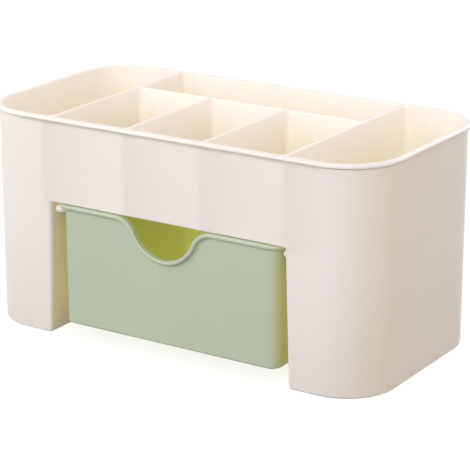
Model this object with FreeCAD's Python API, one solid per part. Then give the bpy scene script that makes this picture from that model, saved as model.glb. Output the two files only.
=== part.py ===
"""Desktop brush holder with a drawer: a moulded body with two deep end cups, three front
pockets and a back channel over a bay, in which a flanged drawer slides on two rails.

Frame: millimetres, +Z up, X along the length, the drawer pulls out towards -Y.
The origin is on the table, under the middle of the body.
"""
import FreeCAD, Part
import math
import os

Vector = FreeCAD.Vector

# ---------------------------------------------------------------- driving sizes, mm and degrees

# Body: the outer shell
body_length = 217.0          # over the end walls
body_depth = 112.0           # over the front and back walls
body_height = 109.0          # table to the top of the rim
corner_radius = 26.0         # outside corners, in plan
shell_wall = 1.6
rim_projection = 1.5         # how far the rolled rim stands out of the walls
rim_height = 2.2
rim_rounding = 0.7

# Body: the drawer bay between the two hollow legs
bay_width = 135.0            # between the legs, at the table
bay_height = 66.8            # table to the underside of the tray floor
bay_edge_rounding = 1.2      # front edges of the legs, where the drawer passes
cup_wall = 1.6
cup_wall_lean = 2.0          # degrees: each cup is wider at its mouth
cup_floor_thickness = 1.8

# Body: the tray over the bay
tray_floor_thickness = 1.6
pocket_depth = 70.0          # front pockets, front to back
channel_wall_thickness = 1.5
divider_thickness = 1.5

# Body: the rails that carry the drawer
rail_width = 4.2             # how far a rail stands out of the leg, at its top
rail_thickness = 3.6
rail_setback = 3.9           # rail nose behind the front of the body
rail_nose_rounding = 3.2

# Drawer
drawer_height = 60.0
drawer_wall = 1.5
drawer_floor_thickness = 1.6
drawer_corner_radius = 6.0   # vertical corners
drawer_foot_rounding = 1.2   # edge round the underside
drawer_draft = 0.75          # degrees, narrower at the bottom
flange_thickness = 2.2
front_lip = 2.2              # how far the flange stands out of the drawer's front
flange_rounding = 0.6

# Drawer: the finger scoop in its front
scoop_depth = 17.7           # below the drawer's top edge
scoop_radius = 16.5
scoop_shoulder_radius = 11.7

# Clearances of the drawer in its bay
drawer_recess = 0.3          # flange behind the front of the body
drawer_top_clearance = 0.4   # flange to the tray floor
slide_clearance = 0.3        # flange to the rails
drawer_rail_clearance = 1.2  # drawer sides to the rails
flange_side_clearance = 1.3  # flange to the legs
flange_back_clearance = 1.2  # flange to the back wall

# ---------------------------------------------------------------- sizes that follow

lean_slope = math.tan(math.radians(cup_wall_lean))
draft_slope = math.tan(math.radians(drawer_draft))

front_outer_y = -body_depth / 2
front_inner_y = front_outer_y + shell_wall
back_inner_y = body_depth / 2 - shell_wall

tray_top = bay_height + tray_floor_thickness
channel_wall_front_y = front_inner_y + pocket_depth

flange_top = bay_height - drawer_top_clearance
flange_bottom = flange_top - flange_thickness
rail_top = flange_bottom - slide_clearance
rail_bottom = rail_top - rail_thickness


def bay_half_width(z):
    """Half the width between the cup walls, at height z."""
    return bay_width / 2 - lean_slope * z


rail_tip_x = bay_half_width(rail_top) - rail_width
flange_half_length = bay_half_width(flange_top) - flange_side_clearance
flange_front_y = front_outer_y + drawer_recess
flange_back_y = back_inner_y - flange_back_clearance

tub_half_length = rail_tip_x - drawer_rail_clearance
side_flange = flange_half_length - tub_half_length
tub_front_y = flange_front_y + front_lip
tub_back_y = flange_back_y - side_flange
tub_bottom = flange_top - drawer_height

scoop_bottom_centre_z = flange_top - scoop_depth + scoop_radius
scoop_shoulder_centre_z = flange_top - scoop_shoulder_radius
scoop_shoulder_x = math.sqrt(
    (scoop_radius + scoop_shoulder_radius) ** 2
    - (scoop_bottom_centre_z - scoop_shoulder_centre_z) ** 2
)

cut_margin = 2.0             # how far a cutting solid runs past what it cuts


# ---------------------------------------------------------------- shared shapes

def arc_between(centre, radius, start, end, plane):
    """Arc edge about centre from angle start to angle end, in degrees, in plane 'xy' or 'xz'."""
    def point(angle):
        along = radius * math.cos(math.radians(angle))
        across = radius * math.sin(math.radians(angle))
        offset = Vector(along, across, 0) if plane == "xy" else Vector(along, 0, across)
        return centre + offset
    return Part.Arc(point(start), point((start + end) / 2), point(end)).toShape()


def rounded_rectangle(half_length, front_y, back_y, radius, z):
    """Closed wire in plan: a rectangle with round corners, at height z."""
    left, right = -half_length, half_length
    corners = [
        (Vector(right - radius, front_y + radius, z), -90),
        (Vector(right - radius, back_y - radius, z), 0),
        (Vector(left + radius, back_y - radius, z), 90),
        (Vector(left + radius, front_y + radius, z), 180),
    ]
    arcs = [arc_between(centre, radius, start, start + 90, "xy") for centre, start in corners]
    edges = []
    for index, arc in enumerate(arcs):
        next_arc = arcs[(index + 1) % len(arcs)]
        edges.append(arc)
        edges.append(Part.LineSegment(arc.lastVertex().Point, next_arc.firstVertex().Point).toShape())
    return Part.Wire(edges)


def prism(wire, height):
    """Solid that rises from a flat closed wire."""
    return Part.Face(wire).extrude(Vector(0, 0, height))


def side_profile(points, front_y, back_y):
    """Solid with an outline of (x, z) points, that runs from front_y to back_y."""
    wire = Part.makePolygon([Vector(x, front_y, z) for x, z in points + points[:1]])
    return Part.Face(wire).extrude(Vector(0, back_y - front_y, 0))


def between_cup_walls(bottom, top, front_y, back_y):
    """Plate that fills the room between the two leaning cup walls."""
    points = [
        (-bay_half_width(bottom), bottom),
        (bay_half_width(bottom), bottom),
        (bay_half_width(top), top),
        (-bay_half_width(top), top),
    ]
    return side_profile(points, front_y, back_y)


def mirrored(solid):
    """The same solid on the other side of the middle plane."""
    return solid.mirror(Vector(0, 0, 0), Vector(1, 0, 0))


# ---------------------------------------------------------------- body

def shell_outline(offset, z):
    """The body's outline in plan, moved outwards by offset."""
    return rounded_rectangle(
        body_length / 2 + offset,
        front_outer_y - offset,
        -front_outer_y + offset,
        corner_radius + offset,
        z,
    )


def make_outer_shell():
    """The wall all round, open at the front between the legs, with its rolled rim."""
    wall = prism(shell_outline(0, 0), body_height)
    rim = prism(shell_outline(rim_projection, body_height - rim_height), rim_height)
    rim_edges = [edge for edge in rim.Edges if abs(edge.BoundBox.ZLength) < 0.001]
    rim = rim.makeFillet(rim_rounding, rim_edges)
    inside = prism(shell_outline(-shell_wall, -cut_margin), body_height + 2 * cut_margin)
    shell = wall.fuse(rim).cut(inside).removeSplitter()
    bay_front = between_cup_walls(
        -cut_margin, bay_height, front_outer_y - cut_margin, front_inner_y + cut_margin
    )
    shell = shell.cut(bay_front)
    bay_edges = [edge for edge in shell.Edges if is_leg_front_edge(edge)]
    return shell.makeFillet(bay_edge_rounding, bay_edges)


def is_leg_front_edge(edge):
    """True for the two upright edges where the front of a leg meets the drawer bay."""
    box = edge.BoundBox
    on_front = abs(box.YMin - front_outer_y) < 0.001 and box.YLength < 0.001
    upright = abs(box.ZLength - bay_height) < 0.001
    return on_front and upright and abs(box.Center.x) < bay_width / 2 + shell_wall


def make_right_cup_wall():
    """Leaning wall from the table to the rim: side of the bay below, side of the cup above."""
    foot = bay_half_width(0)
    mouth = bay_half_width(body_height)
    points = [(foot, 0), (foot + cup_wall, 0), (mouth + cup_wall, body_height), (mouth, body_height)]
    return side_profile(points, front_inner_y, back_inner_y)


def make_right_cup_floor():
    """Plate that closes the bottom of the right leg."""
    inside = prism(shell_outline(-shell_wall, 0), cup_floor_thickness)
    foot = bay_half_width(0) + cup_wall
    top = bay_half_width(cup_floor_thickness) + cup_wall
    points = [
        (-body_length, 0),
        (foot, 0),
        (top, cup_floor_thickness),
        (-body_length, cup_floor_thickness),
    ]
    return inside.cut(side_profile(points, -body_depth, body_depth))


def make_tray_floor():
    """Floor of the pockets and the channel, which is the roof of the drawer bay."""
    return between_cup_walls(bay_height, tray_top, front_inner_y, back_inner_y)


def make_channel_wall():
    """Long wall behind the front pockets."""
    back_y = channel_wall_front_y + channel_wall_thickness
    return between_cup_walls(tray_top, body_height, channel_wall_front_y, back_y)


def make_right_divider():
    """Wall between the middle pocket and the right pocket."""
    room = 2 * bay_half_width(body_height) - 2 * divider_thickness
    inner_x = room / 3 / 2
    size = Vector(divider_thickness, pocket_depth, body_height - tray_top)
    return Part.makeBox(size.x, size.y, size.z, Vector(inner_x, front_inner_y, tray_top))


def make_right_rail():
    """Rib on the inside of the right leg that the drawer's flange slides on."""
    points = [
        (rail_tip_x, rail_bottom),
        (bay_half_width(rail_bottom), rail_bottom),
        (bay_half_width(rail_top), rail_top),
        (rail_tip_x, rail_top),
    ]
    nose_y = front_outer_y + rail_setback
    rail = side_profile(points, nose_y, back_inner_y)
    nose_edges = [edge for edge in rail.Edges if is_rail_nose_edge(edge, nose_y)]
    return rail.makeFillet(rail_nose_rounding, nose_edges)


def is_rail_nose_edge(edge, nose_y):
    """True for the upright edge at the free corner of a rail's front end."""
    box = edge.BoundBox
    at_tip = abs(box.XMin - rail_tip_x) < 0.001 and box.XLength < 0.001
    return at_tip and abs(box.YMin - nose_y) < 0.001 and box.YLength < 0.001


# ---------------------------------------------------------------- drawer

def tub_outline(inset, z):
    """The drawer's outline in plan at height z, moved inwards by inset."""
    narrowing = draft_slope * (flange_top - z) + inset
    return rounded_rectangle(
        tub_half_length - narrowing,
        tub_front_y + narrowing,
        tub_back_y - narrowing,
        drawer_corner_radius - inset,
        z,
    )


def tub_outside():
    """The drawer below its top edge as one full solid."""
    block = Part.makeLoft([tub_outline(0, tub_bottom), tub_outline(0, flange_top)], True, True)
    foot_edges = [edge for edge in block.Edges if edge.BoundBox.ZMax < tub_bottom + 0.001]
    return block.makeFillet(drawer_foot_rounding, foot_edges)


def scoop_prism(widening):
    """Solid that passes through the drawer's front, with the scoop's outline widened all round."""
    y = flange_front_y - cut_margin
    turn = math.degrees(math.asin(
        (scoop_bottom_centre_z - scoop_shoulder_centre_z) / (scoop_radius + scoop_shoulder_radius)
    ))
    bottom = Vector(0, y, scoop_bottom_centre_z)
    right = Vector(scoop_shoulder_x, y, scoop_shoulder_centre_z)
    left = Vector(-scoop_shoulder_x, y, scoop_shoulder_centre_z)
    shoulder = scoop_shoulder_radius - widening
    left_arc = arc_between(left, shoulder, 90, turn, "xz")
    bottom_arc = arc_between(bottom, scoop_radius + widening, -180 + turn, -turn, "xz")
    right_arc = arc_between(right, shoulder, 180 - turn, 90, "xz")
    start = left_arc.firstVertex().Point
    end = right_arc.lastVertex().Point
    up = Vector(0, 0, cut_margin + widening)
    closing = [
        Part.LineSegment(end, end + up).toShape(),
        Part.LineSegment(end + up, start + up).toShape(),
        Part.LineSegment(start + up, start).toShape(),
    ]
    outline = Part.Wire([left_arc, bottom_arc, right_arc] + closing)
    length = tub_front_y + drawer_wall + 2 * cut_margin - y
    return Part.Face(outline).extrude(Vector(0, length, 0))


def make_drawer_tub():
    """Open box with rounded corners, with the finger scoop cut in its front."""
    inside = Part.makeLoft(
        [
            tub_outline(drawer_wall, tub_bottom + drawer_floor_thickness),
            tub_outline(drawer_wall, flange_top + cut_margin),
        ],
        True,
        True,
    )
    return tub_outside().cut(inside).cut(scoop_prism(0))


def make_drawer_rim():
    """Flange round the top of the drawer. At the front it dips round the finger scoop."""
    radius = drawer_corner_radius + front_lip
    outline = rounded_rectangle(
        flange_half_length, flange_front_y, flange_back_y, radius, flange_bottom
    )
    flange = prism(outline, flange_thickness)
    flange_edges = [edge for edge in flange.Edges if abs(edge.BoundBox.ZLength) < 0.001]
    flange = flange.makeFillet(flange_rounding, flange_edges)
    lip_block = Part.makeBox(
        2 * flange_half_length,
        body_depth,
        drawer_height,
        Vector(-flange_half_length, flange_front_y, flange_top - drawer_height),
    )
    scoop_band = scoop_prism(flange_thickness).common(lip_block)
    rim = flange.fuse(scoop_band).cut(scoop_prism(0)).cut(tub_outside())
    return rim.removeSplitter()


# ---------------------------------------------------------------- files

def main():
    """Build every piece and write one STEP file for each."""
    right_cup_wall = make_right_cup_wall()
    right_cup_floor = make_right_cup_floor()
    right_divider = make_right_divider()
    right_rail = make_right_rail()
    pieces = {
        "outer_shell": make_outer_shell(),
        "left_cup_wall": mirrored(right_cup_wall),
        "right_cup_wall": right_cup_wall,
        "left_cup_floor": mirrored(right_cup_floor),
        "right_cup_floor": right_cup_floor,
        "tray_floor": make_tray_floor(),
        "channel_wall": make_channel_wall(),
        "left_pocket_divider": mirrored(right_divider),
        "right_pocket_divider": right_divider,
        "left_rail": mirrored(right_rail),
        "right_rail": right_rail,
        "drawer_tub": make_drawer_tub(),
        "drawer_rim": make_drawer_rim(),
    }
    os.makedirs("parts", exist_ok=True)
    for name, shape in pieces.items():
        solids = shape.Solids
        valid = shape.isValid()
        print(f"{name}: {len(solids)} solid, valid {valid}, {shape.Volume / 1000:.2f} cm3")
        solid = solids[0] if len(solids) == 1 else shape
        solid.exportStep(f"parts/{name}.step")


main()
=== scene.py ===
"""Looks of a desktop brush holder with a drawer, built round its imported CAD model.

The body is one injection moulding: a rounded wall with a rolled rim, two deep end cups, three
front pockets and a back channel over an open bay. The drawer is a second moulding, an open tub
that hangs by its flange on two rails, with a finger scoop in its front.

Sizes are in millimetres while a piece is modelled, and a finished mesh is in metres.
"""

import logging
import math
from dataclasses import dataclass, field
from enum import Enum
from typing import Callable, Sequence

import bmesh
import bpy
from bmesh.types import BMEdge, BMesh, BMFace, BMLayerItem, BMVert
from mathutils import Matrix, Vector


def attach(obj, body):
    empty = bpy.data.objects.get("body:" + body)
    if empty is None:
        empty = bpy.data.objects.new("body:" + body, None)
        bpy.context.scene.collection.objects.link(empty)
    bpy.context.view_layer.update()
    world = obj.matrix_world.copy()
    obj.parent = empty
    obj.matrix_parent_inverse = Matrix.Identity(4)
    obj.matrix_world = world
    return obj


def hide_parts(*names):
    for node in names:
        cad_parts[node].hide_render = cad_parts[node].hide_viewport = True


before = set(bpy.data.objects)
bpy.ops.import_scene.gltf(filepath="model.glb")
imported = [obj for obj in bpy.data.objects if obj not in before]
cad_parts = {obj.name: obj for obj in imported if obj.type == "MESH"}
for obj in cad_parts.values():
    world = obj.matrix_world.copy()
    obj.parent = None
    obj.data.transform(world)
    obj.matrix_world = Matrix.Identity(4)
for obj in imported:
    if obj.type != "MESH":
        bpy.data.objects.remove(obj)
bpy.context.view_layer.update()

MILLIMETRE = 0.001
LEVEL = 1e-4  # two heights nearer than this are one height
MERGE = 0.002  # points nearer than this become one
LARGE_RADIUS = 10.0  # corners over this are rounded in more steps
LARGE_STEPS = 24
UP = Vector((0, 0, 1))
RIGHT = Vector((1, 0, 0))
FORWARD = Vector((0, -1, 0))
WHITE = (1.0, 1.0, 1.0, 1.0)

logging.basicConfig(level=logging.INFO, format="%(name)s: %(message)s")
LOG = logging.getLogger("brush_holder")

Profile = list[tuple[float, float]]


class RigidBody(Enum):
    """The CAD bodies that pieces move with."""

    ORGANISER = "organiser"
    DRAWER = "drawer"


class FinishSlot(Enum):
    """The material slots of the record."""

    BODY = "body_plastic"
    DRAWER = "drawer_plastic"


class Share(Enum):
    """Numbers from 0 to 1 that the points of a piece carry for its finish: painted shade, painted
    light and shade, painted backlight, and how little light the plastic lets through.
    """

    # painted shade: lines on the front's panels, darkening towards the table, the drawer's foot and
    # flange top
    PAINTED_SHADE = "sunk"
    # painted shade in the body's hollows and along its foot's edge, painted light inside the drawer
    PAINTED_LIGHT_AND_SHADE = "hollow"
    # painted backlight: light that reaches a wall through other walls, painted into its colour
    BACKLIT = "backlit"
    DENSE = "dense"


# ---- mesh helpers

def clamp(value: float, low: float = 0.0, high: float = 1.0) -> float:
    """The value, or the nearer limit where it is past one."""
    return min(max(value, low), high)


def new_skin() -> BMesh:
    """Start a mesh.

    Returns:
        An empty mesh whose points carry every share.
    """
    bm = bmesh.new()
    for share in Share:
        bm.verts.layers.float.new(share.value)
    return bm


def layer(bm: BMesh, share: Share) -> BMLayerItem:
    """The layer that holds a share."""
    return bm.verts.layers.float[share.value]


def arc(centre: tuple[float, float], radius: float, start: float, steps: int = 5,
        turn: float = 90.0, stretch: float = 1.0) -> Profile:
    """Points of an arc in a profile.

    Args:
        centre: Middle of the arc, as (across, up).
        radius: Radius of the arc.
        start: Angle of the first point, in degrees.
        steps: Number of straight steps.
        turn: Angle that the arc covers, positive anticlockwise.
        stretch: How many times wider than high the arc is.

    Returns:
        The points, both ends among them.
    """
    angles = [math.radians(start + turn * step / steps) for step in range(steps + 1)]
    return [
        (centre[0] + stretch * radius * math.cos(angle), centre[1] + radius * math.sin(angle))
        for angle in angles
    ]


def round_off(bm: BMesh, geom: Sequence[BMVert | BMEdge], radius: float, segments: int,
              affect: str = "EDGES") -> list[BMVert]:
    """Round edges or corners.

    Args:
        bm: Mesh that holds them.
        geom: Edges, or corners of loose flat faces.
        radius: Radius of the rounding, where the faces meet squarely.
        segments: Number of straight steps in the arc.
        affect: "EDGES" or "VERTICES".

    Returns:
        The points that the operator makes.
    """
    return bmesh.ops.bevel(
        bm, geom=list(geom), offset=radius, offset_type="OFFSET", segments=segments,
        profile=0.5, affect=affect, material=-1,
    )["verts"]


def lay_plate(bm: BMesh, sides: tuple[float, float, float, float], height: float,
              radii: Sequence[float], steps: int = LARGE_STEPS) -> BMFace:
    """Lay a loose flat rectangle with round corners.

    Args:
        bm: Mesh to add to.
        sides: Where its left, right, front and back are.
        height: Height that it lies at.
        radii: Radii of the corners, anticlockwise from the front left.
        steps: Straight steps in a corner that isn't large.

    Returns:
        Its face, which looks up.
    """
    left, right, front, back = sides
    corners = ((left, front), (right, front), (right, back), (left, back))
    verts = [bm.verts.new((x, y, height)) for x, y in corners]
    face = bm.faces.new(verts)
    for vert, radius in zip(verts, radii):
        segments = steps if radius < LARGE_RADIUS else LARGE_STEPS
        face = round_off(bm, [vert], radius, segments, "VERTICES")[0].link_faces[0]
    return face


def carry_face(bm: BMesh, face: BMFace, profile: Profile) -> None:
    """Carry a flat face that looks up along a profile and leave a wall behind it.

    Args:
        bm: Mesh that holds the face.
        face: Face to carry. It starts at the profile's first point and ends at its last.
        profile: Points as (inwards, up).
    """
    for (inset, height), (next_inset, next_height) in zip(profile, profile[1:]):
        bmesh.ops.inset_region(
            bm, faces=[face], thickness=next_inset - inset, depth=next_height - height,
            use_boundary=True, use_even_offset=True,
        )


def lies_at(part: BMEdge | BMFace, axis: int, value: float) -> bool:
    """Whether the whole of an edge or face is at one value of an axis, from 0 for x."""
    return all(abs(vert.co[axis] - value) < LEVEL for vert in part.verts)


def verts_of(parts: Sequence[BMEdge | BMFace]) -> set[BMVert]:
    """The points of some edges or faces."""
    return {vert for part in parts for vert in part.verts}


def edges_where(bm: BMesh, test: Callable[[BMEdge], bool]) -> list[BMEdge]:
    """All edges that pass a test."""
    return [edge for edge in bm.edges if test(edge)]


def cut_faces(bm: BMesh, faces: Sequence[BMFace], point: Vector, normal: Vector) -> None:
    """Cut faces along the plane through a point. The others only gain points on shared edges."""
    parts = {part for face in faces for part in (*face.verts, *face.edges, face)}
    bmesh.ops.bisect_plane(bm, geom=list(parts), dist=LEVEL, plane_co=point, plane_no=normal)


def extrude_ring(bm: BMesh, edges: Sequence[BMEdge],
                 place: Callable[[BMVert], Vector]) -> list[BMEdge]:
    """Extrude a ring or chain of edges and put each new point in its place.

    Args:
        bm: Mesh that holds the edges.
        edges: Edges of the ring.
        place: Gives the place of a new point, which starts on the point that it grew from.

    Returns:
        The edges of the new ring.
    """
    made = bmesh.ops.extrude_edge_only(bm, edges=list(edges))["geom"]
    verts = [item for item in made if isinstance(item, BMVert)]
    places = [place(vert) for vert in verts]
    for vert, point in zip(verts, places):
        vert.co = point
    fresh = set(verts)
    return [
        item for item in made
        if isinstance(item, BMEdge) and item.verts[0] in fresh and item.verts[1] in fresh
    ]


def add_object(name: str, data: bpy.types.ID) -> bpy.types.Object:
    """Put an object round a mesh, lamp or camera into the scene.

    Args:
        name: Name of the object.
        data: What it holds.

    Returns:
        The object, at the origin.
    """
    holder = bpy.data.objects.new(name, data)
    bpy.context.scene.collection.objects.link(holder)
    return holder


def looking(place: Sequence[float], aim: Sequence[float]) -> Matrix:
    """Where a lamp or camera is, turned to look at a point."""
    way = Vector(aim) - Vector(place)
    return Matrix.Translation(place) @ way.to_track_quat("-Z", "Y").to_matrix().to_4x4()


# ---- finishes

def linear_colour(hex_colour: str) -> tuple[float, float, float, float]:
    """Turn an sRGB hex colour into the linear colour that shaders take.

    Args:
        hex_colour: Colour as "#RRGGBB".

    Returns:
        Linear red, green, blue and an alpha of 1.
    """
    channels = [int(hex_colour[at:at + 2], 16) / 255 for at in (1, 3, 5)]
    red, green, blue = (
        value / 12.92 if value <= 0.04045 else ((value + 0.055) / 1.055) ** 2.4
        for value in channels
    )
    return red, green, blue, 1.0


def add_node(tree: bpy.types.NodeTree, kind: str, settings: dict | None = None,
             links: dict | None = None) -> bpy.types.Node:
    """Add a node, set it and link it.

    Args:
        tree: Tree that the node goes into.
        kind: Blender's name for the node type, without "ShaderNode".
        settings: Values by input name or number, or by property name where no input has it.
        links: Sockets, or nodes for their first output, by the name or number of the input.

    Returns:
        The node.
    """
    node = tree.nodes.new("ShaderNode" + kind)
    for key, value in (settings or {}).items():
        if isinstance(key, int) or key in node.inputs:
            node.inputs[key].default_value = value
        else:
            setattr(node, key, value)
    for key, source in (links or {}).items():
        socket = source.outputs[0] if isinstance(source, bpy.types.Node) else source
        tree.links.new(socket, node.inputs[key])
    return node


def empty_tree(owner: bpy.types.Material | bpy.types.World) -> bpy.types.NodeTree:
    """Clear the node tree of a material or world.

    Args:
        owner: What the tree belongs to.

    Returns:
        The tree, with nothing in it.
    """
    owner.use_nodes = True
    owner.node_tree.nodes.clear()
    return owner.node_tree


@dataclass(frozen=True)
class MouldedPolypropylene:
    """Injection-moulded polypropylene off a finely textured mould.

    The plastic is slightly see-through and waxy. Lamp light comes through the thin walls,
    tinted, so hollows are bright and turn warm and deep in colour; on top of that, painted shade,
    painted light and painted backlight are mixed into the colour by shares that the points carry.
    The gloss is a broad satin one that the mould's texture breaks up, and the melt's flow leaves
    faint clouds.
    """

    name: str
    outside: str  # colour of an open face
    flow: str  # colour of the clouds in it
    sunk: str  # painted shade on the front's panels, towards the table, at the drawer's foot and on its flange's flat top
    hollow: str  # painted shade inside the body's hollows and along its foot's edge, painted light inside the drawer
    backlit: str  # painted light: colour of a wall that light reaches through other walls
    through: str  # tint that one surface gives to light that comes through
    clear: str  # the same for a backlit wall
    dense: str = "#202020"  # the same where the plastic is thick
    roughness: float = 0.42
    unevenness: tuple[float, float] = (-0.05, 0.06)  # what the texture adds to that
    glow: float = 0.12  # share of light that spreads in the plastic
    depth: float = 1.2  # millimetres that it spreads
    grain: float = 1.1  # millimetres; the mould's texture, drawn coarse to show
    cloud: float = 38.0  # millimetres between clouds of flow

    def make(self) -> bpy.types.Material:
        """Build the material from its nodes.

        Returns:
            The material, which mixes painted shade, painted light and painted backlight into its
            colour by the shares that a piece's points carry.
        """
        material = bpy.data.materials.new(self.name)
        tree = empty_tree(material)
        place = add_node(tree, "TexCoord").outputs["Object"]
        clouds = add_node(
            tree, "TexNoise",
            {"Scale": 1 / (self.cloud * MILLIMETRE), "Detail": 2.0, "Roughness": 0.45},
            {"Vector": place},
        )
        spread = add_node(
            tree, "MapRange", {"From Min": 0.35, "From Max": 0.65},
            {"Value": clouds},
        )
        colour = add_node(
            tree, "Mix",
            {"data_type": "RGBA", 6: linear_colour(self.outside), 7: linear_colour(self.flow)},
            {0: spread},
        )
        # Painted shade, painted light and shade, and painted backlight, each mixed in by its share.
        for share, painted_colour in ((Share.PAINTED_SHADE, self.sunk), (Share.PAINTED_LIGHT_AND_SHADE, self.hollow),
                            (Share.BACKLIT, self.backlit)):
            amount = add_node(tree, "Attribute", {"attribute_name": share.value})
            colour = add_node(
                tree, "Mix", {"data_type": "RGBA", 7: linear_colour(painted_colour)},
                {0: amount.outputs["Fac"], 6: colour.outputs[2]},
            )
        grain = add_node(
            tree, "TexNoise",
            {"Scale": 1 / (self.grain * MILLIMETRE), "Detail": 3.0, "Roughness": 0.6},
            {"Vector": place},
        )
        gloss = add_node(
            tree, "MapRange",
            {"From Min": 0.3, "From Max": 0.7, "To Min": self.roughness + self.unevenness[0],
             "To Max": self.roughness + self.unevenness[1]},
            {"Value": grain},
        )
        bump = add_node(
            tree, "Bump", {"Strength": 0.05, "Distance": 0.1 * MILLIMETRE},
            {"Height": grain},
        )
        plastic = add_node(
            tree, "BsdfPrincipled",
            {"IOR": 1.49, "Subsurface Weight": self.glow,
             "Subsurface Radius": (1.0, 0.85, 0.6), "Subsurface Scale": self.depth * MILLIMETRE},
            {"Base Color": colour.outputs[2], "Roughness": gloss,
             "Normal": bump},
        )
        thick = add_node(tree, "Attribute", {"attribute_name": Share.DENSE.value})
        tint = add_node(
            tree, "Mix",
            {"data_type": "RGBA", 6: linear_colour(self.through), 7: linear_colour(self.dense)},
            {0: thick.outputs["Fac"]},
        )
        tint = add_node(
            tree, "Mix", {"data_type": "RGBA", 7: linear_colour(self.clear)},
            {0: amount.outputs["Fac"], 6: tint.outputs[2]},
        )
        let_through = add_node(
            tree, "BsdfTransparent", None, {"Color": tint.outputs[2]}
        )
        path = add_node(tree, "LightPath")
        wall = add_node(tree, "MixShader", None, {
            0: path.outputs["Is Shadow Ray"], 1: plastic,
            2: let_through,
        })
        add_node(tree, "OutputMaterial", None, {"Surface": wall})
        return material


# ---- body

@dataclass(kw_only=True)
class Moulding:
    """What every moulded piece has: a mesh to model it in, and a place in the frame."""

    name: str
    nodes: tuple[str, ...]  # CAD nodes that it stands for
    rides_on: RigidBody = RigidBody.ORGANISER
    slot: FinishSlot = FinishSlot.BODY
    smooth_angle: float = 38.0  # degrees; a sharper edge stays an edge
    bm: BMesh = field(default_factory=new_skin, init=False)  # freed when it is built

    def model(self) -> None:
        """Model the piece in its mesh, in millimetres."""
        raise NotImplementedError

    def build(self) -> bpy.types.Object:
        """Model the piece and turn it into an object in metres.

        Returns:
            The object, at the origin, with smooth shading that keeps flat faces flat.
        """
        self.model()
        bm, limit = self.bm, math.radians(self.smooth_angle)
        bmesh.ops.remove_doubles(bm, verts=bm.verts, dist=MERGE)
        bmesh.ops.recalc_face_normals(bm, faces=bm.faces)
        bmesh.ops.scale(bm, verts=bm.verts, vec=Vector((MILLIMETRE,) * 3))
        for edge in bm.edges:
            edge.smooth = edge.calc_face_angle(0.0) < limit
        for face in bm.faces:
            face.smooth = True
        mesh = bpy.data.meshes.new(self.name)
        bm.to_mesh(mesh)
        open_edges = sum(not edge.is_manifold for edge in bm.edges)
        bm.free()
        piece = add_object(self.name, mesh)
        piece.modifiers.new("Even normals", "WEIGHTED_NORMAL").keep_sharp = True
        LOG.info("%s: %d faces, %d open edges", self.name, len(mesh.polygons), open_edges)
        return piece

    def dress(self, piece: bpy.types.Object, finish: bpy.types.Material) -> None:
        """Give the piece its finish and its place in the frame.

        Args:
            piece: The built piece.
            finish: Its material.
        """
        piece.data.materials.append(finish)
        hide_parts(*self.nodes)
        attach(piece, self.rides_on.value)


@dataclass(frozen=True)
class Hollow:
    """A hollow in the body that opens upwards, square in plan with rounded corners."""

    left: float
    right: float
    front: float
    back: float
    floor: float
    share: float  # how far its walls take the painted shade of the finish's hollow colour
    dense: float = 0.0  # and how far they let less light through
    left_radius: float = 2.2  # corners on the left, in plan
    right_radius: float = 2.2
    corner_steps: int = 6
    painted_shade_start: float = 0.4  # below the rim, where the painted shade starts
    painted_shade_depth: float = 3.0  # over which it comes in

    def build(self, bm: BMesh, top: float, mouth_rounding: float, floor_rounding: float) -> None:
        """Sink the hollow from the top plane.

        Args:
            bm: Mesh to add to. The mouth is left as a ring of open edges.
            top: Height of the top plane.
            mouth_rounding: Radius of the edge round the mouth.
            floor_rounding: Radius where the walls meet the floor.
        """
        grow = mouth_rounding
        left, right = self.left_radius + grow, self.right_radius + grow
        sides = (self.left - grow, self.right + grow, self.front - grow, self.back + grow)
        face = lay_plate(bm, sides, top, (left, right, right, left), self.corner_steps)
        mouth = arc((-grow, top - grow), grow, 90, 4, -90)
        foot = arc((floor_rounding, self.floor + floor_rounding), floor_rounding, 180, 5)
        before = set(bm.verts) - set(face.verts)
        carry_face(bm, face, mouth + foot)
        # Paint shade down the new walls, coming in below the rim.
        hollow, dense = layer(bm, Share.PAINTED_LIGHT_AND_SHADE), layer(bm, Share.DENSE)
        for vert in set(bm.verts) - before:
            depth = top - vert.co.z - self.painted_shade_start
            vert[dense] = self.dense
            vert[hollow] = self.share * clamp(depth / self.painted_shade_depth)


@dataclass(frozen=True)
class BayLevel:
    """One section of the bay's lining."""

    across: float  # distance from the front
    outside: float  # how far it stands outside the legs' faces
    above: float  # how far above the bay's roof


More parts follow.
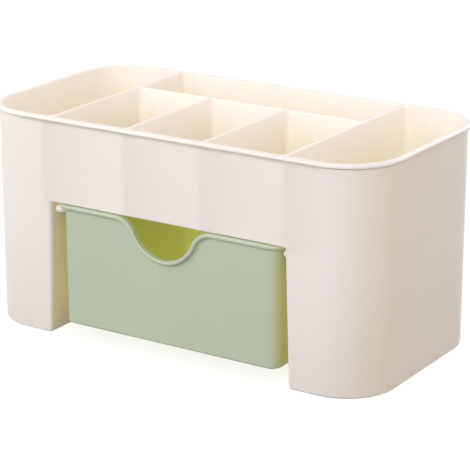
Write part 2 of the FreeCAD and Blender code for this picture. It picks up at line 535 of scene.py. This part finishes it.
@dataclass(kw_only=True)
class BodyMoulding(Moulding):
    """The body in one piece, with its cups, pockets, channel and bay."""

    name: str = "body_moulding"
    nodes: tuple[str, ...] = (
        "outer_shell", "left_cup_wall", "right_cup_wall", "left_cup_floor", "right_cup_floor",
        "tray_floor", "channel_wall", "left_pocket_divider", "right_pocket_divider",
    )
    length: float = 217.0
    depth: float = 112.0
    height: float = 109.0
    corner_radius: float = 26.0
    wall: float = 1.6
    rim_projection: float = 1.5
    rim_height: float = 2.2
    bead_under: float = 0.8  # radius of the rolled rim's lower edge
    bead_over: float = 1.3  # height of the arc over its top
    bead_stretch: float = 1.5  # how many times wider than high that arc is
    bead_fillet: float = 0.65  # where the rim grows out of the wall
    mouth_rounding: float = 0.68  # inner edges of the rim, and the tops of the dividers
    floor_rounding: float = 1.8
    bay_half_width: float = 67.5  # at the table
    bay_height: float = 66.8
    lean: float = math.tan(math.radians(2.0))
    cup_floor: float = 1.8
    tray_floor: float = 1.6
    pocket_depth: float = 70.0
    divider: float = 1.5
    leg_edge: float = 2.0  # radius of the legs' front edges
    apron_edge: float = 0.7  # radius of the apron's lower edge
    bay_back_fillet: float = 1.0
    foot_edge: float = 0.9  # edge all round the underside
    painted_foot_shade: float = 58.0  # height over which painted shade darkens the outside towards the table
    bow: float = 0.7  # how far a panel sinks between two walls behind it
    lip_width: float = 1.3  # of the lip beside the right cup's wall in the channel
    lip_height: float = 1.4
    lip_drop: float = 0.15  # below the top of that wall
    lip_seat: float = 0.5  # how far it runs into the wall
    lip_gap: float = 3.0  # between its end and the back wall
    lip_rounding: float = 0.3
    left_line: float = 68.4  # lines of painted shade down the front where the cup walls stand behind it
    right_line: float = 65.5
    line_onset: float = 3.2  # how far before a line its painted shade comes in
    line_reach: float = 16.0  # how far beyond it the painted shade fades
    line_end: float = 5.0  # how far down a leg a line runs out
    line_over: float = 0.5  # how far it runs up into the rim
    panel_start: float = 1.0  # how far below the bay's roof the panels begin
    end_painted_glow: float = 0.48  # painted backlight: how far the ends take the backlit colour where the front corners meet them
    end_fade: float = 3.7  # corner radii that it takes to fade towards the back
    end_onset: float = 0.33  # how late round a corner it comes in
    end_span: float = 0.75  # over how much of the corner
    end_curve: float = 1.3  # and how slowly at first
    bay_onset: float = 6.0  # how far into the bay its lining takes the full painted backlight
    lean_zone: tuple[float, float] = (55.0, 75.0)  # from the middle, where hollows lean
    cup_painted_shade: tuple[float, float] = (0.7, 1.0)  # painted shade in the left and right cup
    tray_painted_shade: float = 0.6  # painted shade in the hollows over the bay
    tray_dense: float = 0.10  # how far the walls there let less light through
    bow_top: float = 104.5  # above this the panels straighten towards the rim
    column: float = 1.6  # width of the apron's facets
    edge_steps: int = 6  # steps round a leg's front edge
    fillet_steps: int = 4  # steps where the bay's lining meets the back wall

    def cup_wall_x(self, height: float) -> float:
        """Distance of a cup wall's bay side from the middle at a height."""
        return self.bay_half_width - self.lean * height

    def model(self) -> None:
        """Model the body."""
        self._raise_wall()
        self._open_bay()
        self._close_foot()
        self._shade_foot()
        self._sink_hollows()
        self._close_top()
        self._bow_panels()
        self._add_lip()

    def _raise_wall(self) -> None:
        """Raise the outer wall from the table, roll its rim and paint backlight onto its ends."""
        half_length, half_depth = self.length / 2, self.depth / 2
        sides = (-half_length, half_length, -half_depth, half_depth)
        face = lay_plate(self.bm, sides, 0, [self.corner_radius] * 4)
        under = self.height - self.rim_height
        fillet, edge, out = self.bead_fillet, self.bead_under, self.rim_projection
        over, stretch = self.bead_over, self.bead_stretch
        outwards = [(0, 0), (0, self.bow_top)]
        outwards += arc((fillet, under - fillet), fillet, 180, 4, -90)
        outwards += arc((out - edge, under + edge), edge, -90, 5)
        outwards += arc((out - over * stretch, self.height - over), over, 0, 7, stretch=stretch)
        carry_face(self.bm, face, [(-across, up) for across, up in outwards])
        top = [face for face in self.bm.faces if lies_at(face, 2, self.height)]
        bmesh.ops.delete(self.bm, geom=top, context="FACES_ONLY")
        # Painted backlight on the ends, coming in round the front corners and fading towards the
        # back.
        backlit = layer(self.bm, Share.BACKLIT)
        for vert in self.bm.verts:
            if vert.co.z < under:
                around = (abs(vert.co.x) - half_length) / self.corner_radius + 1
                behind = (vert.co.y + half_depth) / self.corner_radius - 1
                fade = 1 - max(behind, 0) / self.end_fade
                onset = max(around / self.end_span - self.end_onset, 0) ** self.end_curve
                vert[backlit] = self.end_painted_glow * fade * onset

    def _front_faces(self, test: Callable[[Vector], bool]) -> list[BMFace]:
        """Faces of the flat front whose middles pass a test."""
        flat = [face for face in self.bm.faces if lies_at(face, 1, -self.depth / 2)]
        return [face for face in flat if test(face.calc_center_bounds())]

    def _cut_front(self, test: Callable[[Vector], bool], point: Vector, normal: Vector) -> None:
        """Cut the faces of the flat front whose middles pass a test along a plane."""
        cut_faces(self.bm, self._front_faces(test), point, normal)

    def _open_bay(self) -> None:
        """Cut the bay into the front and line it to the back wall."""
        half, line_foot = self.bay_half_width, self.bay_height - self.line_end
        opening_top = self.bay_height + self.apron_edge
        for side in (-1, 1):
            edge, normal = RIGHT * side * (half + self.leg_edge), Vector((side, 0, self.lean))
            self._cut_front(lambda c: True, edge, normal)
        for height in (line_foot, self.bay_height):
            self._cut_front(lambda c: abs(c.x) > half, UP * height, UP)
        for x in (-self.left_line - self.line_onset, -self.left_line):
            self._cut_front(lambda c: c.x < -half and c.z > line_foot, RIGHT * x, RIGHT)
        self._cut_front(
            lambda c: abs(c.x) < self.column and c.z < self.bow_top, UP * opening_top, UP
        )
        columns = round(2 * self.cup_wall_x(self.bay_height) / self.column)
        for step in range(-columns // 2 + 1, columns // 2):
            self._cut_front(
                lambda c: abs(c.x) < half and c.z > line_foot, RIGHT * step * self.column, RIGHT
            )
        opening = self._front_faces(lambda c: abs(c.x) < self.column and c.z < opening_top)
        bmesh.ops.delete(self.bm, geom=opening, context="FACES")
        chain = [
            edge for edge in self.bm.edges
            if edge.is_boundary and not lies_at(edge, 2, 0) and not lies_at(edge, 2, self.height)
        ]
        # Painted backlight on the bay's lining, full a little way in from the front.
        backlit = layer(self.bm, Share.BACKLIT)
        for level in self._bay_levels():
            chain = extrude_ring(self.bm, chain, lambda vert: self._on_lining(vert.co, level))
            for vert in verts_of(chain):
                vert[backlit] = min(level.across / self.bay_onset, 1.0)
        bmesh.ops.contextual_create(self.bm, geom=chain)

    def _on_lining(self, start: Vector, level: BayLevel) -> Vector:
        """Place of a point of the bay's lining.

        Args:
            start: The point before it, nearer to the front.
            level: Section that it belongs to.

        Returns:
            The place.
        """
        foot = start.z < LEVEL
        z = 0.0 if foot else self.bay_height + level.above
        edge = abs(start.x) > self.cup_wall_x(self.bay_height) - self.column / 2
        x = start.x
        if foot or edge:
            x = math.copysign(self.cup_wall_x(z) + level.outside, start.x)
        return Vector((x, -self.depth / 2 + level.across, z))

    def _bay_levels(self) -> list[BayLevel]:
        """Sections of the bay's lining.

        Returns:
            The sections from front to back.
        """
        leg, apron, fillet = self.leg_edge, self.apron_edge, self.bay_back_fillet
        levels = []
        for across, outside in arc((leg, leg), leg, 180, self.edge_steps)[1:]:
            lift = apron - math.sqrt(apron ** 2 - max(apron - across, 0) ** 2)
            levels.append(BayLevel(across, outside, lift))
        turn = (self.depth - self.wall - fillet, fillet)
        return levels + [
            BayLevel(across, -inwards, -inwards)
            for across, inwards in arc(turn, fillet, -90, self.fillet_steps)
        ]

    def _close_foot(self) -> None:
        """Close the underside of the legs and the back wall, and round its edge."""
        on_table = edges_where(self.bm, lambda e: e.is_boundary and lies_at(e, 2, 0))
        bmesh.ops.contextual_create(self.bm, geom=on_table)
        foot = edges_where(self.bm, lambda e: e.is_manifold and lies_at(e, 2, 0))
        round_off(self.bm, foot, self.foot_edge, 3)

    def _shade_foot(self) -> None:
        """Paint shade on the outside that deepens towards the table, and a painted shadow line
        along the foot's edge.
        """
        leg, back = self.bay_half_width + self.leg_edge, self.depth / 2 - LEVEL
        middles = {face: face.calc_center_bounds() for face in self.bm.faces}
        outside = [
            face for face, middle in middles.items()
            if self.foot_edge < middle.z < self.bow_top and (abs(middle.x) > leg or middle.y > back)
        ]
        cut_faces(self.bm, outside, UP * self.painted_foot_shade, UP)
        sunk, hollow = layer(self.bm, Share.PAINTED_SHADE), layer(self.bm, Share.PAINTED_LIGHT_AND_SHADE)
        # Painted shade, darker towards the table.
        for vert in verts_of([face for face in outside if face.is_valid]):
            vert[sunk] = max(1 - vert.co.z / self.painted_foot_shade, 0)
        # A painted shadow line along the foot's edge.
        for vert in self.bm.verts:
            if vert.co.z < self.foot_edge / 2:
                vert[hollow] = 1.0

    def hollows(self) -> list[Hollow]:
        """The cups, pockets and channel, as they are at the rim.

        Returns:
            The hollows, before the cup walls lean.
        """
        wall_x = self.cup_wall_x(self.height)
        front, back = -self.depth / 2 + self.wall, self.depth / 2 - self.wall
        inner_x = (2 * wall_x - 2 * self.divider) / 6
        tray = self.bay_height + self.tray_floor
        pocket_back = front + self.pocket_depth
        inner, outer = wall_x + self.wall, self.length / 2 - self.wall
        round_end = self.corner_radius - self.wall
        # Painted shade for the walls of the left and right cup.
        left_painted_shade, right_painted_shade = self.cup_painted_shade
        over_bay = [
            (-wall_x, -inner_x - self.divider, front, pocket_back),
            (-inner_x, inner_x, front, pocket_back),
            (inner_x + self.divider, wall_x, front, pocket_back),
            (-wall_x, wall_x, pocket_back + self.divider, back),
        ]
        return [
            Hollow(-outer, -inner, front, back, self.cup_floor, left_painted_shade, left_radius=round_end),
            Hollow(inner, outer, front, back, self.cup_floor, right_painted_shade, right_radius=round_end),
            *(Hollow(*sides, tray, self.tray_painted_shade, self.tray_dense) for sides in over_bay),
        ]

    def _sink_hollows(self) -> None:
        """Sink every hollow and lean the cup walls."""
        outside = set(self.bm.verts)
        for hollow in self.hollows():
            hollow.build(self.bm, self.height, self.mouth_rounding, self.floor_rounding)
        for vert in self.bm.verts:
            if vert not in outside and self.lean_zone[0] < abs(vert.co.x) < self.lean_zone[1]:
                drop = self.height - vert.co.z
                vert.co.x += math.copysign(self.lean * drop, vert.co.x)

    def _close_top(self) -> None:
        """Fill the top plane between the open rings of the rim and of the hollows' mouths."""
        rings = edges_where(self.bm, lambda e: e.is_boundary and lies_at(e, 2, self.height))
        bmesh.ops.triangle_fill(self.bm, edges=rings, use_beauty=True, normal=UP)

    def _bow_panels(self) -> None:
        """Sink the front's panels a little between the walls behind them, as moulding does, and
        paint shade on them that is darkest at each wall and fades to its right.
        """
        front, under = -self.depth / 2, self.height - self.rim_height
        start_z = self.bay_height - self.panel_start
        divider_x = (2 * self.cup_wall_x(self.height) + self.divider) / 6
        sunk = layer(self.bm, Share.PAINTED_SHADE)
        for vert in self.bm.verts:
            on_front = vert.co.y < front + self.leg_edge
            # Painted shade beside each wall behind the front.
            if on_front and start_z < vert.co.z < under + self.line_over:
                vert[sunk] = max(
                    self._painted_shade_share(vert.co.x - wall)
                    for wall in (-self.left_line, -divider_x, divider_x, self.right_line)
                )
            outer = self.cup_wall_x(vert.co.z) + self.wall / 2
            x = abs(vert.co.x)
            if vert.co.y > front + self.leg_edge or vert.co.z < start_z or x > outer:
                continue
            start, end = (divider_x, outer) if x > divider_x else (-divider_x, divider_x)
            across = (x - start) / (end - start)
            sink = self.bow * 4 * across * (1 - across)
            from_front = (vert.co.y - front) / self.leg_edge
            straight = max(vert.co.z - self.bow_top, 0) / (under - self.bow_top)
            vert.co.y += sink * (1 - from_front) * max(1 - straight, 0)

    def _add_lip(self) -> None:
        """Set a low lip into the right cup's wall in the channel, as a closed shell."""
        top = self.height - self.lip_drop
        wall_x = self.cup_wall_x(top) + self.lip_seat
        start = -self.depth / 2 + self.wall + self.pocket_depth + self.divider
        end = self.depth / 2 - self.wall
        size = Vector((self.lip_width + self.lip_seat, end - start - self.lip_gap, self.lip_height))
        middle = Vector((wall_x, end - self.lip_gap, top)) - size / 2
        made = bmesh.ops.create_cube(
            self.bm, size=1.0, matrix=Matrix.LocRotScale(middle, None, size)
        )["verts"]
        edges = {edge for vert in made for edge in vert.link_edges}
        round_off(self.bm, edges, self.lip_rounding, 3)

    def _painted_shade_share(self, beyond: float) -> float:
        """How far a point of the front takes the painted shade beside a wall behind it.

        Args:
            beyond: How far to the right of a wall behind the front it is.

        Returns:
            The share, which comes in fast before the wall's right side and fades slowly.
        """
        if beyond < 0:
            return max(1 + beyond / self.line_onset, 0.0)
        return math.exp(-beyond / self.line_reach)


@dataclass(kw_only=True)
class Rail(Moulding):
    """A rib on the inside of a leg, with a rounded nose, that the drawer's flange slides on."""

    side: int  # -1 on the left, 1 on the right
    body: BodyMoulding
    tip: float = 61.07  # free edge, from the middle
    bottom: float = 60.3
    top: float = 63.9
    nose: float = -52.1
    back: float = 54.4
    nose_rounding: float = 3.2
    edge_rounding: float = 1.7  # nearly half its height, so that its free side is round
    sunk: float = 0.4  # how far it runs into the walls it grows from

    def model(self) -> None:
        """Model the rail."""
        bmesh.ops.create_cube(self.bm, size=1.0)
        for vert in self.bm.verts:
            z = self.top if vert.co.z > 0 else self.bottom
            x = self.body.cup_wall_x(z) + self.sunk if vert.co.x > 0 else self.tip
            y = self.back + self.sunk if vert.co.y > 0 else self.nose
            vert.co = Vector((x, y, z))
        nose = edges_where(self.bm, lambda e: lies_at(e, 0, self.tip) and lies_at(e, 1, self.nose))
        round_off(self.bm, nose, self.nose_rounding, 8)
        wall_x = self.body.cup_wall_x(self.top)
        free = edges_where(self.bm, lambda e: (
            lies_at(e, 2, e.verts[0].co.z) and min(v.co.x for v in e.verts) < wall_x
            and min(v.co.y for v in e.verts) < self.back
        ))
        round_off(self.bm, free, self.edge_rounding, 4)
        if self.side < 0:
            bmesh.ops.scale(self.bm, verts=self.bm.verts, vec=Vector((-1, 1, 1)))


# ---- drawer

@dataclass(frozen=True)
class SkinRing:
    """One ring of the drawer's skin."""

    across: float  # out of the tub's face, or in from the flange's edge
    drop: float  # below the rim's path
    at_edge: bool = False  # measured in from the flange's edge
    height: float | None = None  # a level ring at this height, instead of the drop
    # painted light inside the drawer
    hollow: float = 0.0
    dense: float = 0.0
    sunk: float = 0.0  # painted shade at the foot, and where the rim is level


@dataclass(frozen=True)
class SkinColumn:
    """One line up the drawer's skin, from the underside to the rim."""

    point: Vector  # on the tub's outline at its top
    outward: Vector
    edge: Vector  # on the flange's outline
    rise: Vector  # across the rim's path, in the tub's face
    sides: tuple[float, float]  # which way the draft moves it, in x and y


@dataclass(kw_only=True)
class DrawerMoulding(Moulding):
    """The drawer in one piece: a tub with a flange that dips round the finger scoop."""

    name: str = "drawer_moulding"
    nodes: tuple[str, ...] = ("drawer_tub", "drawer_rim")
    rides_on: RigidBody = RigidBody.DRAWER
    slot: FinishSlot = FinishSlot.DRAWER

    half_length: float = 60.55  # of the tub, at its top
    front: float = -54.4
    back: float = 49.19
    top: float = 66.4
    bottom: float = 6.4
    wall: float = 1.5
    floor: float = 1.6
    corner_radius: float = 5.5
    foot_rounding: float = 1.2
    floor_rounding: float = 1.4
    draft: float = math.tan(math.radians(0.15))
    flange_half_length: float = 63.88
    flange_front: float = -56.4
    flange_back: float = 53.2
    flange_corner: float = 8.2
    flange_thickness: float = 2.2
    bead_rounding: float = 0.95  # outer edges of the flange
    mouth_rounding: float = 0.5
    scoop_depth: float = 17.7
    scoop_radius: float = 17.4
    scoop_x: float = -0.8
    shoulder_radius: float = 11.9
    corner_steps: int = 10
    scoop_steps: int = 16
    shoulder_steps: int = 12
    stations: tuple[float, ...] = (32.0, 40.0, 47.0)  # points of the rim beside the scoop
    flange_fillet: float = 0.35  # between the tub and the flange
    painted_foot_shadow: float = 0.35  # height of the painted shadow line at the foot, and of its fading
    mouth_painted_shade: float = 0.55  # how far the flange's level top and the mouth's edge take painted shade
    painted_inner_light_onset: tuple[tuple[float, float], ...] = ((1.2, 0.3), (3.5, 1.0))  # drop and share of the painted light inside
    painted_side_light_fade: float = 3.0  # how late round a corner the painted backlight of its sides comes in

    def model(self) -> None:
        """Model the drawer."""
        sunk, hollow, backlit, dense = (layer(self.bm, share) for share in Share)
        number = self.bm.verts.layers.int.new("column")
        ring, columns = self._lay_outline()
        for section in self._sections():
            ring = extrude_ring(
                self.bm, ring, lambda vert: self._place(columns[vert[number]], section)
            )
            # Each ring carries painted light inside, painted shade at the foot and on the level
            # top, and painted backlight on the sides.
            for vert in verts_of(ring):
                side = abs(columns[vert[number]].outward.x)
                vert[hollow] = section.hollow
                vert[dense] = section.dense * (1 - side)
                vert[sunk] = section.sunk * (columns[vert[number]].rise.z > 1 - LEVEL)
                vert[backlit] = (1 - section.hollow) * side ** self.painted_side_light_fade
        bmesh.ops.contextual_create(self.bm, geom=ring)

    def _sections(self) -> list[SkinRing]:
        """The rings of the skin.

        Returns:
            The rings from the underside over the flange to the inner floor.
        """
        foot, bead, thick = self.foot_rounding, self.bead_rounding, self.flange_thickness
        # The foot's lowest rings take a painted shadow line.
        rings = [
            SkinRing(across, 0, height=up, sunk=clamp(2 - (up - self.bottom) / self.painted_foot_shadow))
            for across, up in arc((-foot, self.bottom + foot), foot, -90, 6)
        ]
        fillet, mouth = self.flange_fillet, self.mouth_rounding
        rings += [
            SkinRing(across, drop)
            for across, drop in arc((fillet, thick + fillet), fillet, 180, 3)
        ]
        rings += [
            SkinRing(-across, drop, at_edge=True, dense=1.0)
            for across, drop in arc((-bead, thick - bead), bead, 90, 5, -90)
            + arc((-bead, bead), bead, 0, 5, -90)
        ]
        # The flange's level top and the mouth's edge take painted shade.
        rings += [
            SkinRing(across - self.wall, drop, sunk=self.mouth_painted_shade)
            for across, drop in arc((mouth, mouth), mouth, -90, 4, -90)
        ]
        # Painted light inside the drawer, coming in below the mouth and full on the inner walls'
        # foot and floor.
        rings += [SkinRing(-self.wall, drop, hollow=share) for drop, share in self.painted_inner_light_onset]
        inner, level = self.floor_rounding, self.bottom + self.floor
        rings += [
            SkinRing(-self.wall - inner + across, 0, height=level + inner + up, hollow=1.0)
            for across, up in arc((0, 0), inner, 0, 5, -90)
        ]
        return rings

    def _lay_outline(self) -> tuple[list[BMEdge], list[SkinColumn]]:
        """Lay the tub's underside and number its points, which become the skin's columns.

        Returns:
            The edges of the outline, and the columns by number.
        """
        sides = (-self.half_length, self.half_length, self.front, self.back)
        lay_plate(self.bm, sides, self.bottom, [self.corner_radius] * 4, self.corner_steps)
        straight = edges_where(self.bm, lambda e: lies_at(e, 1, self.front))
        path = self._front_path()
        bmesh.ops.subdivide_edges(self.bm, edges=straight, cuts=len(path))
        number = self.bm.verts.layers.int["column"]
        front_run = sorted(
            (v for v in self.bm.verts if abs(v.co.y - self.front) < LEVEL), key=lambda v: v.co.x
        )
        columns = []
        for vert in self.bm.verts:
            vert[number] = len(columns)
            columns.append(self._corner_column(vert.co))
        for vert, (x, z, rise) in zip(front_run[1:-1], path):
            point, edge = Vector((x, self.front, z)), Vector((x, self.flange_front, z))
            columns[vert[number]] = SkinColumn(point, FORWARD, edge, rise, (0, -1))
        underside = SkinRing(-self.foot_rounding, 0, height=self.bottom)
        for vert in self.bm.verts:
            vert.co = self._place(columns[vert[number]], underside)
        return list(self.bm.edges), columns

    def _corner_column(self, point: Vector) -> SkinColumn:
        """Column at a point of the straight sides or the corners.

        Args:
            point: Point of the tub's outline.

        Returns:
            The column.
        """
        radius, flange = self.corner_radius, self.flange_corner
        reach, flange_reach = self.half_length - radius, self.flange_half_length - flange
        centre = Vector((
            clamp(point.x, -reach, reach),
            clamp(point.y, self.front + radius, self.back - radius),
            self.top,
        ))
        lifted = Vector((point.x, point.y, self.top))
        outward = (lifted - centre).normalized()
        edge_centre = Vector((
            clamp(centre.x, -flange_reach, flange_reach) if abs(centre.x) < reach - LEVEL
            else math.copysign(flange_reach, centre.x),
            self.flange_front + flange if centre.y < 0 else self.flange_back - flange,
            self.top,
        ))
        sides = (math.copysign(1, centre.x), math.copysign(1, centre.y))
        return SkinColumn(lifted, outward, edge_centre + outward * flange, UP, sides)

    def _front_path(self) -> list[tuple[float, float, Vector]]:
        """Points of the rim's path along the front, from left to right.

        Returns:
            For each point its x, its height and the direction across the path, which looks
            into the scoop.
        """
        bottom_z = self.top - self.scoop_depth + self.scoop_radius
        shoulder_z = self.top - self.shoulder_radius
        reach = self.scoop_radius + self.shoulder_radius
        shoulder_x = math.sqrt(reach ** 2 - (bottom_z - shoulder_z) ** 2)
        turn = math.degrees(math.asin((bottom_z - shoulder_z) / reach))
        arcs = (
            ((0, bottom_z), -self.scoop_radius, 90, 90 - turn, self.scoop_steps),
            ((shoulder_x, shoulder_z), self.shoulder_radius, 180 - turn, turn - 90,
             self.shoulder_steps),
        )
        right: list[tuple[float, float, Vector]] = []
        for centre, radius, start, swept, steps in arcs:
            for x, z in arc(centre, radius, start, steps, swept)[bool(right):]:
                right.append((x, z, Vector((x - centre[0], 0, z - centre[1])) / radius))
        right += [(x, self.top, UP) for x in self.stations]
        left = [(-x, z, Vector((-way.x, 0, way.z))) for x, z, way in reversed(right[1:])]
        return [(x + self.scoop_x, z, way) for x, z, way in left + right]

    def _place(self, column: SkinColumn, section: SkinRing) -> Vector:
        """Place of a point of the skin.

        Args:
            column: Column that the point is on.
            section: Ring that it is in.

        Returns:
            The place.
        """
        if section.at_edge:
            inwards = (column.point - column.edge).normalized()
            return column.edge + inwards * section.across - column.rise * section.drop
        place = column.point + column.outward * section.across - column.rise * section.drop
        if section.height is not None:
            place.z = section.height
        if section.across <= 0:
            narrowing = self.draft * (self.top - place.z)
            place.x -= column.sides[0] * narrowing
            place.y -= column.sides[1] * narrowing
        return place


# ---- studio

@dataclass(frozen=True)
class SoftBox:
    """A square lamp that looks at a point."""

    name: str
    place: tuple[float, float, float]
    size: float  # metres
    power: float  # watts
    aim: tuple[float, float, float] = (0.0, 0.0, 0.05)
    colour: tuple[float, float, float] = (1.0, 1.0, 1.0)

    def make(self) -> None:
        """Hang the lamp in the scene."""
        lamp = bpy.data.lights.new(self.name, "AREA")
        lamp.shape = "SQUARE"
        lamp.size = self.size
        lamp.energy = self.power
        lamp.color = self.colour
        add_object(self.name, lamp).matrix_world = looking(self.place, self.aim)


@dataclass
class Studio:
    """A pale table and backdrop in one, soft lamps and the camera."""

    camera_place: tuple[float, float, float] = (0.4945, -0.7620, 0.3370)
    camera_aim: tuple[float, float, float] = (0.0181, -0.0231, 0.0558)
    lens: float = 150.2  # millimetres
    sensor: float = 36.0  # millimetres wide
    farthest: float = 20.0  # metres that the camera sees
    table_half: float = 6.0  # half the table's side, in metres
    world_strength: float = 0.48
    card: str = "#5C5C5C"  # the table as it lights the object
    card_seen: str = "#909090"  # the table as it is seen, with its glow added
    card_glow: float = 0.8
    lamps: tuple[SoftBox, ...] = (
        SoftBox("key_lamp", (-0.45, -0.65, 0.42), 0.35, 2.35, colour=(0.97, 0.99, 1.0)),
        SoftBox("front_lamp", (0.3, -1.2, 0.46), 0.64, 6.6, colour=(0.975, 0.975, 1.0)),
        SoftBox("right_lamp", (0.72, 0.12, 0.3), 0.32, 1.2, colour=(1.0, 0.95, 0.95)),
        SoftBox("back_lamp", (0.2, 1.6, 0.8), 1.0, 10.2),
        SoftBox("left_lamp", (-1.6, 0.3, 0.8), 1.0, 6.0),
    )

    def build(self) -> None:
        """Set up everything round the object."""
        self._lay_floor()
        self._light_world()
        for lamp in self.lamps:
            lamp.make()
        self._place_camera()
        bpy.context.scene.view_settings.view_transform = "Standard"

    def _lay_floor(self) -> None:
        """Lay the white table, which is brighter to the camera but keeps the shadow."""
        bm = bmesh.new()
        bmesh.ops.create_grid(bm, x_segments=1, y_segments=1, size=self.table_half)
        mesh = bpy.data.meshes.new("table")
        bm.to_mesh(mesh)
        bm.free()
        table = add_object("table", mesh)
        material = bpy.data.materials.new("matt_white_table_card")
        tree = empty_tree(material)
        seen_card = add_node(tree, "BsdfDiffuse", {"Color": linear_colour(self.card_seen)})
        glow = add_node(tree, "Emission", {"Strength": self.card_glow})
        seen = add_node(tree, "AddShader", None, {0: seen_card, 1: glow})
        card = add_node(tree, "BsdfDiffuse", {"Color": linear_colour(self.card)})
        self._show(tree, seen, card, "OutputMaterial")
        mesh.materials.append(material)

    @staticmethod
    def _show(tree: bpy.types.NodeTree, seen: bpy.types.Node, lit: bpy.types.Node,
              output: str) -> None:
        """Show one shader to the camera, straight or in a reflection, and light with another.

        Args:
            tree: Tree of the material or world.
            seen: Shader that is seen.
            lit: Shader that lights the object.
            output: Kind of the output node.
        """
        rays, either = add_node(tree, "LightPath").outputs, {"operation": "MAXIMUM"}
        shown = add_node(tree, "Math", either, {0: rays["Is Camera Ray"], 1: rays["Is Glossy Ray"]})
        is_seen = add_node(tree, "Math", either, {0: shown, 1: rays["Is Transmission Ray"]})
        choice = add_node(tree, "MixShader", None, {0: is_seen, 1: lit, 2: seen})
        add_node(tree, output, None, {"Surface": choice})

    def _light_world(self) -> None:
        """Fill the room with even light, white to the camera and in reflections."""
        world = bpy.data.worlds.new("studio")
        tree = empty_tree(world)
        fill = add_node(tree, "Background", {"Color": WHITE, "Strength": self.world_strength})
        white = add_node(tree, "Background", {"Color": WHITE, "Strength": 1.0})
        self._show(tree, white, fill, "OutputWorld")
        bpy.context.scene.world = world

    def _place_camera(self) -> None:
        """Put the camera in its place and make it the scene's."""
        data = bpy.data.cameras.new("camera")
        data.lens = self.lens
        data.sensor_width = self.sensor
        data.clip_end = self.farthest
        camera = add_object("camera", data)
        camera.matrix_world = looking(self.camera_place, self.camera_aim)
        bpy.context.scene.camera = camera


def main() -> None:
    """Build the body, the rails and the drawer, then the studio round them."""
    # In each finish, sunk is painted shade, hollow is painted shade in the cream and painted light
    # in the sage, and backlit is painted backlight.
    cream = MouldedPolypropylene(
        "moulded_cream_polypropylene", outside="#F8F0EA", flow="#F6EDE7", sunk="#EFE5DF",
        hollow="#DCD8CE", backlit="#FBEAC6", through="#EDE9D4", clear="#FFFDEC",
    ).make()
    sage = MouldedPolypropylene(
        "moulded_sage_polypropylene", outside="#C2CBB2", flow="#BFC8AF", sunk="#858A76",
        hollow="#D2D8C0", backlit="#C4C992", through="#F5F5AC", clear="#F3F2C8",
    ).make()
    body = BodyMoulding()
    dressed: list[tuple[Moulding, bpy.types.Material]] = [
        (body, cream),
        (Rail(name="left_rail_rib", nodes=("left_rail",), side=-1, body=body), cream),
        (Rail(name="right_rail_rib", nodes=("right_rail",), side=1, body=body), cream),
        (DrawerMoulding(), sage),
    ]
    for moulding, finish in dressed:
        moulding.dress(moulding.build(), finish)
        LOG.info("%s is dressed with %s", moulding.name, finish.name)
    Studio().build()


if __name__ == "__main__":
    main()
